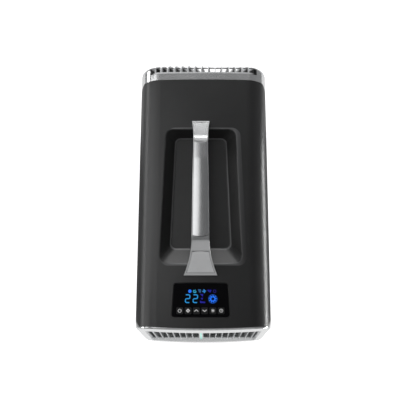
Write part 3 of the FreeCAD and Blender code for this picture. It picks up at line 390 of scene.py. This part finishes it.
def bar_ring(y, sunk, inset):
    """The bar's section at y, with its top sunk between the rails to take an inlay."""
    half, top, under = through(BAR_PLAN, y), straight(BAR_TOP, y), straight(BAR_UNDER, y)
    floor = top - sunk
    inner = half - inset
    lip = 0.0 if not sunk else 0.35
    edge = [(0, floor), (inner * 0.6, floor), (inner - 0.2, floor), (inner, floor + lip * 0.6),
            (inner, top - lip), (inner + 0.25, top - 0.04), (half - 0.7, top), (half - 0.25, top - 0.16),
            (half - 0.03, top - 0.6), (half, top - 1.4), (half + 0.25, (top + under) / 2),
            (half - 0.1, under + 1.6), (half - 0.6, under + 0.6), (half - 1.6, under),
            (half * 0.5, under - 0.1)]
    right = [(x, y, z) for x, z in edge]
    left = [(-x, y, z) for x, z in edge[:0:-1]]
    return right + [(0, y, under - 0.12)] + left


def steps(start, end, size):
    """Evenly spaced stations from start to end."""
    count = max(1, round((end - start) / size))
    return [start + (end - start) * i / count for i in range(count + 1)]


satin = metal("satin_cast", (0.62, 0.625, 0.63), 0.30, 2400.0, (1, 0.02, 0.02), 0.0000015)
rings = [bar_ring(y, 0.0, RAIL + 1.2) for y in steps(-165, -161.2, 1.0)]
rings += [bar_ring(y, INLAY_DEPTH, RAIL + 1.2) for y in steps(-161, -124.7, 1.5)]
rings += [bar_ring(y, 0.0, RAIL + 1.2) for y in steps(-124.5, -101.2, 1.5)]
rings += [bar_ring(y, INLAY_DEPTH, RAIL) for y in steps(-101, 138.3, 2.0)]
rings += [bar_ring(y, 0.0, RAIL) for y in steps(138.5, 141, 1.2)]
bar = lofted("handle_bar", rings, satin, "case")
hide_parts("handle_body")


def inlay(name, node, start, end, inset, rise, smile, made):
    """A crowned or hollowed inlay, its ends curved in plan by a smile at each side."""
    across = [i / 8 for i in range(-8, 9)]
    rings = []
    for v in steps(0.0, 1.0, 1.0 / max(4, round((end - start) / 2.5))):
        over, under = [], []
        for u in across:
            y = start + smile[0] * u * u + (end + smile[1] * u * u - start - smile[0] * u * u) * v
            half = through(BAR_PLAN, y) - inset
            top = straight(BAR_TOP, y)
            ease = min(1.0, 6 * (1 - abs(u)))
            over.append((u * half, y, top + rise * (1 - u * u) - 0.12 * (1 - ease)))
            under.append((u * (half - 0.05), y, top - INLAY_DEPTH + 0.15))
        rings.append(over + under[::-1])
    obj = lofted(name, rings, made, "case")
    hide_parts(node)
    return obj


polished = metal("satin_inlay", (0.66, 0.665, 0.67), 0.25, 2400.0, (1, 0.02, 0.02), 0.000001)
inlay("grip", "handle_grip", -100.2, 81.0, RAIL + 0.3, 1.5, (2.2, 2.6), polished)
inlay("front_foot_cover", "handle_front_cover", -160.6, -125.3, RAIL + 1.6, 0.5, (0.0, -1.4), polished)
inlay("rear_foot_cover", "handle_rear_cover", 81.7, 138.0, RAIL + 0.3, -1.1, (2.6, 0.0), polished)

# ---------------------------------------------------------------- display
# A smoked acrylic window, glued into a shallow bed in the shell. The lit figures and symbols
# behind it shine through at its face.

window, shader, place = finish_for("smoked_window", Coat_Weight=0.0)
haze = noise(place, 40.0, 4.0)
drive(shader, Base_Color=haze.tint((0.0025, 0.0025, 0.003), (0.005, 0.005, 0.006)),
      Roughness=0.10 + haze.between(0.5, 0.8) * 0.06)
shader.inputs["Specular IOR Level"].default_value = 0.08
dress(window, "display_panel")
face_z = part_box("display_panel")[1][2] * 1000 + 0.02


def lit(name, colour, glow):
    """Light through a printed mask, clouded unevenly over its face."""
    made, shader, place = finish_for(name, Roughness=0.3, Emission_Strength=glow)
    cloud = noise(place, 260.0, 2.0)
    bright = cloud.between(0.25, 0.75).tint([c * 0.75 for c in colour], colour)
    body = cloud.tint([c * 0.1 for c in colour], [c * 0.16 for c in colour])
    drive(shader, Base_Color=body, Emission_Color=bright)
    return made


def stroke(points, width, closed=False):
    """A ribbon of even width along points, as its four-sided pieces."""
    count = len(points)
    sides = []
    for i in range(count):
        before = points[i - 1] if closed or i else points[i]
        after = points[(i + 1) % count] if closed or i < count - 1 else points[i]
        run = Vector(after) - Vector(before)
        across = Vector((-run.y, run.x)).normalized() * width / 2
        sides.append((Vector(points[i]) + across, Vector(points[i]) - across))
    pairs = list(zip(sides, sides[1:])) + ([(sides[-1], sides[0])] if closed else [])
    return [(a[0], a[1], b[1], b[0]) for a, b in pairs]


def round_of(x, y, radius, count=24, start=0.0, sweep=360.0):
    """Points round a circle or an arc."""
    last = count if sweep >= 360 else count - 1
    turns = [math.radians(start + sweep * i / last) for i in range(count)]
    return [(x + radius * math.cos(t), y + radius * math.sin(t)) for t in turns]


def printed(name, shapes, base, made, body="case", thick=0.12):
    """Flat marks a hair's breadth thick, given in millimetres, on one body."""
    mesh = bpy.data.meshes.new(name)
    build = bmesh.new()
    for shape in shapes:
        low = [build.verts.new((x / 1000, y / 1000, base / 1000)) for x, y in shape]
        high = [build.verts.new((x / 1000, y / 1000, (base + thick) / 1000)) for x, y in shape]
        build.faces.new(high)
        build.faces.new(low[::-1])
        for i in range(len(shape)):
            j = (i + 1) % len(shape)
            build.faces.new((low[i], low[j], high[j], high[i]))
    bmesh.ops.recalc_face_normals(build, faces=build.faces[:])
    build.to_mesh(mesh)
    build.free()
    obj = as_object(name, mesh, made, body)
    return obj


centre = bar_x * 1000


def figure_two(x, y, wide, tall):
    """The figure 2 in five lit segments with rounded turns."""
    r = wide * 0.32
    right, left, top, low, mid = x + wide / 2, x - wide / 2, y + tall / 2, y - tall / 2, y
    head = [(left + 0.6, top)] + round_of(right - r, top - r, r, 7, 90, -90)[:7]
    neck = [(right, top - r), (right, mid + r)] + round_of(right - r, mid + r, r, 7, 0, -90)
    waist = [(right - r, mid), (left + r, mid)] + round_of(left + r, mid - r, r, 7, 90, 90)
    tail = [(left, mid - r - 0.4), (left, low + r)] + round_of(left + r, low + r, r, 7, 180, 90)
    tail.append((right - 1.0, low))
    return [side for run in (head, neck, waist, tail) for side in stroke(run, 1.9)]


azure = lit("lit_azure", (0.012, 0.25, 0.60), 1.15)
figures = figure_two(centre - 23.6, -208.0, 8.2, 14.4) + figure_two(centre - 9.4, -208.0, 8.2, 14.4)
printed("figures_22", figures, face_z, azure)

row = -194.2
cobalt = lit("lit_cobalt", (0.006, 0.16, 0.95), 1.1)
teal = lit("lit_teal", (0.02, 0.36, 0.55), 1.0)
indigo = lit("lit_indigo", (0.008, 0.008, 0.36), 0.9)
printed("symbol_disc", [round_of(centre - 19.6, row, 3.1)], face_z, cobalt)
drop = stroke(round_of(centre - 10.6, row - 0.2, 2.6, 16, 120, 250), 1.3)
drop += [[(centre - 12.2, row + 1.0), (centre - 8.6, row + 3.4), (centre - 9.6, row + 0.2)],
         round_of(centre - 10.0, row - 1.2, 1.0, 12)]
printed("symbol_drop", drop, face_z, teal)
shield = [[(-4.6, 3.2), (0.6, 3.2), (0.6, 2.0), (-4.6, 2.0)], [(-3.9, 1.2), (1.4, 1.2), (1.4, 0), (-3.9, 0)],
          [(-3.2, -0.8), (1.2, -0.8), (0.8, -2.0), (-2.4, -2.0)], [(-1.8, -2.6), (0.4, -2.6), (-0.6, -3.4)]]
shield = [[(centre + x, row + y) for x, y in bar] for bar in shield]
printed("symbol_shield", shield, face_z, lit("lit_steel_blue", (0.03, 0.16, 0.42), 0.9))
fan = []
for turn in range(4):
    t = math.radians(turn * 90 + 12)
    blade = [(0.3, -0.3), (1.8, -1.5), (3.4, -0.8), (3.5, 0.5), (2.0, 0.9), (0.4, 0.5)]
    fan.append([(centre + 6.8 + a * math.cos(t) - b * math.sin(t), row + a * math.sin(t) + b * math.cos(t))
                for a, b in blade])
printed("symbol_fan", fan, face_z, lit("lit_sky", (0.03, 0.26, 0.70), 1.0))
leaves = [[(12.4, 2.6), (16.2, 2.6), (16.4, -0.4), (14.6, -0.8)],
          [(16.9, 2.6), (20.2, 2.6), (18.2, -2.8), (16.2, -1.6)]]
leaves = [[(centre + x, row + y) for x, y in leaf] for leaf in leaves]
printed("symbol_leaves", leaves, face_z, indigo)
ring = stroke(round_of(centre + 26.0, row - 0.1, 2.5, 22), 1.1, True)
printed("symbol_ring", ring, face_z, lit("lit_violet", (0.012, 0.006, 0.19), 0.9))
pointers = [[(centre - 0.8, -199.6), (centre + 5.2, -199.4), (centre + 4.0, -204.4), (centre + 2.4, -202.6)],
            [(centre + 0.6, -206.6), (centre + 5.0, -206.2), (centre + 3.6, -209.8), (centre + 1.4, -209.2)],
            [(centre - 0.8, -211.4), (centre + 1.6, -213.0), (centre + 8.6, -213.6), (centre + 8.8, -216.0),
             (centre - 0.8, -216.0)]]
printed("symbol_pointers", pointers, face_z, indigo)

# ---------------------------------------------------------------- lit fan wheel
# The round sign beside the figures: blades of light round a dark middle, one pattern
# repeated round a circle.


class Tree(Shade):
    """A Geometry Nodes tree with named inputs."""

    def __init__(self, name, **inputs):
        super().__init__(bpy.data.node_groups.new(name, "GeometryNodeTree"))
        self.named = {}
        for key, value in inputs.items():
            kind = "NodeSocketInt" if isinstance(value, int) else "NodeSocketFloat"
            socket = self.tree.interface.new_socket(key, in_out="INPUT", socket_type=kind)
            socket.default_value = value
            self.named[key] = (socket.identifier, value)
        self.tree.interface.new_socket("Geometry", in_out="OUTPUT", socket_type="NodeSocketGeometry")
        self.entry = self.tree.nodes.new("NodeGroupInput")

    def given(self, key):
        """A named input."""
        return Shade(self.tree, self.entry.outputs[key])

    def mesh(self, name, last, made):
        """Ends the tree, runs it and hands back its result as a plain mesh."""
        whole = last.node("GeometryNodeRealizeInstances", None, {0: last})
        whole = whole.node("GeometryNodeSetMaterial", None, {0: whole, "Material": made})
        leave = self.tree.nodes.new("NodeGroupOutput")
        self.tree.links.new(whole.socket, leave.inputs[0])
        holder = bpy.data.objects.new(name + "_holder", bpy.data.meshes.new(name + "_seed"))
        bpy.context.scene.collection.objects.link(holder)
        modifier = holder.modifiers.new("pattern", "NODES")
        modifier.node_group = self.tree
        for identifier, value in self.named.values():
            modifier[identifier] = value
        ready = holder.evaluated_get(bpy.context.evaluated_depsgraph_get())
        mesh = bpy.data.meshes.new_from_object(ready)
        mesh.name = name
        holder.modifiers.clear()
        bpy.data.objects.remove(holder)
        mesh.materials.clear()
        return mesh


wheel = Tree("wheel_of_blades", Count=9, Radius=0.0048, Length=0.0062, Width=0.0026, Height=0.00012)
blade = wheel.node("GeometryNodeMeshCone", {"fill_type": "NGON"},
                   {"Vertices": 5, "Side Segments": 1, "Radius Top": wheel.given("Width") * 0.42,
                    "Radius Bottom": wheel.given("Width") * 0.5, "Depth": wheel.given("Height")})
longer = wheel.node("ShaderNodeCombineXYZ", None, {0: wheel.given("Length") * 400, 1: 1.0, 2: 1.0})
blade = blade.node("GeometryNodeTransform", None, {"Geometry": blade, "Scale": longer})
hoop = wheel.node("GeometryNodeMeshCircle", None,
                  {"Vertices": wheel.given("Count"), "Radius": wheel.given("Radius")})
spot = hoop.node("GeometryNodeInputPosition")
turn = hoop.node("FunctionNodeAlignRotationToVector", {"axis": "X"}, {"Vector": spot})
twist = turn.node("FunctionNodeRotateRotation", {"rotation_space": "LOCAL"}, {0: turn, 1: (0.0, 0.0, 0.5)})
crowd = hoop.node("GeometryNodeInstanceOnPoints", None,
                  {"Points": hoop, "Instance": blade, "Rotation": twist})
mesh = wheel.mesh("fan_wheel", crowd, cobalt)
hub_x, hub_y = centre + 22.7, -208.5
mesh.transform(Matrix.Translation((hub_x / 1000, hub_y / 1000, face_z / 1000 + 0.00006)))
sign = as_object("fan_wheel", mesh, cobalt, "case")
rim = stroke(round_of(hub_x, hub_y, 7.9, 36), 1.0, True)
printed("fan_wheel_rim", rim, face_z, lit("lit_azure_rim", (0.006, 0.10, 0.55), 0.8))

# ---------------------------------------------------------------- keys
# Six sprung caps of the same smoked acrylic stand flush in the window. Each has its sign
# printed in white ink on the face, and dips under a finger.

KEYS = ("power", "mode", "up", "down", "light", "timer")
cap_black, shader, place = finish_for("key_cap")
touch = noise(place, 500.0, 3.0)
drive(shader, Base_Color=touch.tint((0.003, 0.003, 0.0032), (0.006, 0.006, 0.0063)),
      Roughness=0.26 + touch * 0.1, Normal=bumped(touch, 0.00001))
dress(cap_black, *["key_" + kind for kind in KEYS])

# The white ink glows faintly: painted light on ink that is printed, not lit from behind.
ink, shader, place = finish_for("white_ink_painted_glow", Emission_Strength=0.3)
speck = noise(place, 3000.0, 2.0)
drive(shader, Base_Color=speck.between(0.3, 0.6).tint((0.6, 0.6, 0.6), (0.8, 0.8, 0.8)),
      Emission_Color=speck.tint((0.6, 0.6, 0.6), (0.8, 0.8, 0.8)), Roughness=0.5 + speck * 0.1)


def key_signs(kind):
    """The strokes of one key's sign, about the cap's middle."""
    if kind == "power":
        return stroke(round_of(0, -0.2, 2.9, 20, 125, 290), 0.85) + stroke([(0, 1.4), (0, 3.6)], 0.8)
    if kind == "mode":
        leaf = [(0.9, -0.6), (2.0, -1.9), (3.9, 0.0), (2.0, 1.9), (0.9, 0.6)]
        turns = [(1, 0), (0, 1), (-1, 0), (0, -1)]
        return [[(a * c - b * s, a * s + b * c) for a, b in leaf] for c, s in turns]
    if kind == "up":
        return stroke([(-3.6, -1.5), (0, 1.7), (3.6, -1.5)], 1.4)
    if kind == "down":
        return stroke([(-3.6, 1.5), (0, -1.7), (3.6, 1.5)], 1.4)
    if kind == "light":
        marks = [round_of(0, 0, 1.5, 16)]
        for turn in (math.radians(45 * i) for i in range(8)):
            marks += stroke([(r * math.cos(turn), r * math.sin(turn)) for r in (1.6, 3.4)], 0.7)
        return marks
    return stroke(round_of(0, 0, 2.9, 26), 0.8, True) + stroke([(0, 1.8), (0, 0), (1.4, -0.6)], 0.7)


for kind in KEYS:
    key_low, key_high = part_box("key_" + kind)
    x, y = [500 * (key_low[i] + key_high[i]) for i in (0, 1)]
    marks = [[(x + a, y + b) for a, b in shape] for shape in key_signs(kind)]
    printed("sign_" + kind, marks, key_high[2] * 1000 + 0.01, ink, "key_" + kind, 0.08)

# ---------------------------------------------------------------- display board
# Green fibreglass with its lamp block and six tact switches, on posts under the window.

board, shader, place = finish_for("board_green", Roughness=0.4)
tracks = noise(place, 420.0, 0.0, (1, 0.08, 1)).between(0.48, 0.52)
green = tracks.tint((0.01, 0.10, 0.035), (0.02, 0.20, 0.07))
drive(shader, Base_Color=green, Normal=bumped(tracks, 0.00006))
dress(board, "display_board", "main_board")
dress(moulded("lamp_block", (0.55, 0.56, 0.55), 0.45), "display_module")
dress(metal("switch_can", (0.7, 0.7, 0.68), 0.3), "tact_switches")

# ---------------------------------------------------------------- coils
# Aluminium fins pressed on copper hairpin tubes, one coil behind the vanes and one behind
# the rear grille. The fins are thin and close, so they are laid out by rule.

fin_metal = metal("fin_aluminium", (0.72, 0.73, 0.74), 0.36, 1600.0, (1, 1, 0.1), stain=(0.45, 0.44, 0.40))
for coil in ("evaporator", "condenser"):
    low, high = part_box(coil + "_fins")
    wide, deep, tall = (high[i] - low[i] for i in range(3))
    pack = Tree(coil + "_fin_pack", Count=120, Width=wide, Depth=deep, Height=tall, Thick=0.00035)
    sides = [pack.given(key) for key in ("Thick", "Depth", "Height")]
    size = pack.node("ShaderNodeCombineXYZ", None, dict(enumerate(sides)))
    leaf = pack.node("GeometryNodeMeshCube", None, {"Size": size, "Vertices Y": 7})
    where = leaf.node("GeometryNodeInputPosition")
    wave = along(where, 1) * 900
    wave = wave.sum("SINE", wave) * 0.0004
    shift = wave.node("ShaderNodeCombineXYZ", None, {0: wave})
    leaf = leaf.node("GeometryNodeSetPosition", None, {"Geometry": leaf, "Offset": shift})
    span = pack.given("Width") - 0.0014
    rail_start = pack.node("ShaderNodeCombineXYZ", None, {0: span * -0.5})
    rail_end = pack.node("ShaderNodeCombineXYZ", None, {0: span * 0.5})
    line = pack.node("GeometryNodeMeshLine", {"mode": "END_POINTS"},
                     {"Count": pack.given("Count"), "Start Location": rail_start, "Offset": rail_end})
    crowd = line.node("GeometryNodeInstanceOnPoints", None, {"Points": line, "Instance": leaf})
    mesh = pack.mesh(coil + "_fin_pack", crowd, fin_metal)
    mesh.transform(Matrix.Translation([(low[i] + high[i]) / 2 for i in range(3)]))
    fins = as_object(coil + "_fin_pack", mesh, fin_metal, "case")
    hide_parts(coil + "_fins")
copper = metal("drawn_copper", (0.72, 0.34, 0.20), 0.28, 1200.0, stain=(0.30, 0.14, 0.08))
dress(copper, "evaporator_tubes", "condenser_tubes", "refrigerant_lines")

# ---------------------------------------------------------------- fans, motors and shrouds
# Two pressed fans in black polypropylene, each on the shaft of a plated motor, turning in
# a moulded duct.

fan_plastic = moulded("fan_plastic", (0.02, 0.021, 0.022), 0.4, 1500.0, dust=0.25)
dress(fan_plastic, "evaporator_fan", "condenser_fan")
motor_can = metal("motor_can", (0.55, 0.56, 0.57), 0.34, 1100.0, (1, 0.1, 1))
dress(motor_can, "evaporator_motor", "condenser_motor")
duct_black = moulded("duct_black", (0.012, 0.012, 0.0125), 0.6, 1200.0, 0.00008, 0.1)
dress(duct_black, "evaporator_shroud", "condenser_shroud", "bulkhead")

# ---------------------------------------------------------------- compressor
# A deep-drawn steel can in black stove enamel, on four rubber mounts.

dress(moulded("stove_enamel", (0.012, 0.012, 0.013), 0.28, 300.0, 0.00012, 0.08), "compressor")
dress(moulded("mount_rubber", (0.02, 0.02, 0.02), 0.8, 1500.0, 0.0001, 0.2), "compressor_mounts")

# ---------------------------------------------------------------- power inlet and drain plug
# A three-pin inlet clips into the rear frame, low on the right, and a rubber bung closes
# the drain on the left.

inlet, shader, place = finish_for("inlet_plastic")
depth = along(place, 1).between(0.2460, 0.2500)
ripple = noise(place, 1500.0, 2.0)
drive(shader, Base_Color=ripple.tint((0.010, 0.010, 0.0105), (0.018, 0.018, 0.019)),
      Roughness=0.55 - depth * 0.15 + (ripple - 0.5) * 0.1, Normal=bumped(ripple, 0.00004))
dress(inlet, "power_inlet")
dress(moulded("bung_rubber", (0.024, 0.024, 0.025), 0.7, 1800.0, 0.0001, 0.15), "drain_plug")

# ---------------------------------------------------------------- floor, light and camera
# A pale floor sweeping up into a pale dome, one big soft light above and behind on the left,
# and a low strip on the right that draws the thin line along that shoulder.

sweep = [(0.0, 0.0), (4.0, 0.0), (6.5, 0.0), (8.0, 0.4), (8.8, 1.6), (9.0, 4.0), (8.6, 7.0), (6.0, 9.0),
         (0.0, 9.6)]
mesh = bpy.data.meshes.new("floor")
build = bmesh.new()
spine = [build.verts.new((x, 0, z)) for x, z in sweep]
edges = [build.edges.new(pair) for pair in zip(spine, spine[1:])]
bmesh.ops.spin(build, geom=spine + edges, axis=(0, 0, 1), cent=(0, 0, 0), steps=48, angle=2 * math.pi)
bmesh.ops.remove_doubles(build, verts=build.verts[:], dist=0.0001)
bmesh.ops.recalc_face_normals(build, faces=build.faces[:])
bmesh.ops.reverse_faces(build, faces=build.faces[:])
build.to_mesh(mesh)
build.free()
for face in mesh.polygons:
    face.use_smooth = True
floor = bpy.data.objects.new("floor", mesh)
bpy.context.scene.collection.objects.link(floor)
floor_white, shader, place = finish_for("floor_white", Roughness=0.9, Emission_Strength=0.85)
pale = noise(place, 3.0, 2.0)
drive(shader, Base_Color=pale.tint((0.84, 0.84, 0.84), (0.88, 0.88, 0.88)))
shader.inputs["Emission Color"].default_value = (1, 1, 1, 1)
mesh.materials.append(floor_white)
floor.visible_diffuse = False
floor.visible_glossy = False
floor.visible_shadow = False
floor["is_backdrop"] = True

world = bpy.data.worlds.new("studio")
bpy.context.scene.world = world
world.use_nodes = True
sky = world.node_tree.nodes["Background"]
sky.inputs["Color"].default_value = (0.92, 0.93, 0.94, 1)
sky.inputs["Strength"].default_value = 0.17


def softbox(name, place, aim, size, power):
    """A flat rectangular light at a place, turned to its aim."""
    data = bpy.data.lights.new(name, "AREA")
    data.shape = "RECTANGLE"
    data.size, data.size_y = size
    data.energy = power
    lamp = bpy.data.objects.new(name, data)
    bpy.context.scene.collection.objects.link(lamp)
    lamp.location = place
    lamp.rotation_euler = (Vector(aim) - Vector(place)).to_track_quat("-Z", "Y").to_euler()
    lamp.visible_camera = False


softbox("overhead_left", (-1.03, 0.5, 2.0), (-0.3, 0.2, 0.3), (1.1, 1.7), 7.5)
softbox("overhead_back", (0.0, 1.77, 2.0), (0, 0.2, 0.3), (2.2, 0.9), 4.8)
softbox("left_low", (-1.1, 0.1, 0.38), (0, 0.05, 0.25), (1.5, 0.22), 4)
softbox("left_mid", (-1.5, 0.2, 1.15), (0, 0.1, 0.25), (1.6, 0.5), 4.5)
softbox("behind", (-0.1, 1.7, 0.66), (0, 0.1, 0.28), (1.7, 0.75), 11)
softbox("right_strip", (0.62, -0.16, 0.13), (0.12, -0.09, 0.25), (0.95, 0.055), 4.4)
softbox("front_high", (0.1, -1.5, 1.3), (0, -0.2, 0.3), (2.0, 0.9), 2.4)
softbox("front_card", (0, -0.72, 0.012), (0, -0.72, 1), (1.6, 1.0), 3.4)
softbox("rear_card", (0, 0.74, 0.012), (0, 0.74, 1), (1.6, 1.0), 3.0)

camera_data = bpy.data.cameras.new("camera")
camera_data.lens = 60.9
camera_data.shift_x = 0.005
camera = bpy.data.objects.new("camera", camera_data)
bpy.context.scene.collection.objects.link(camera)
camera.location = (0.005, -0.390, 1.580)
camera.rotation_euler = (math.radians(15.4), 0, 0)
bpy.context.scene.camera = camera
bpy.context.scene.view_settings.view_transform = "Standard"

low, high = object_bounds()
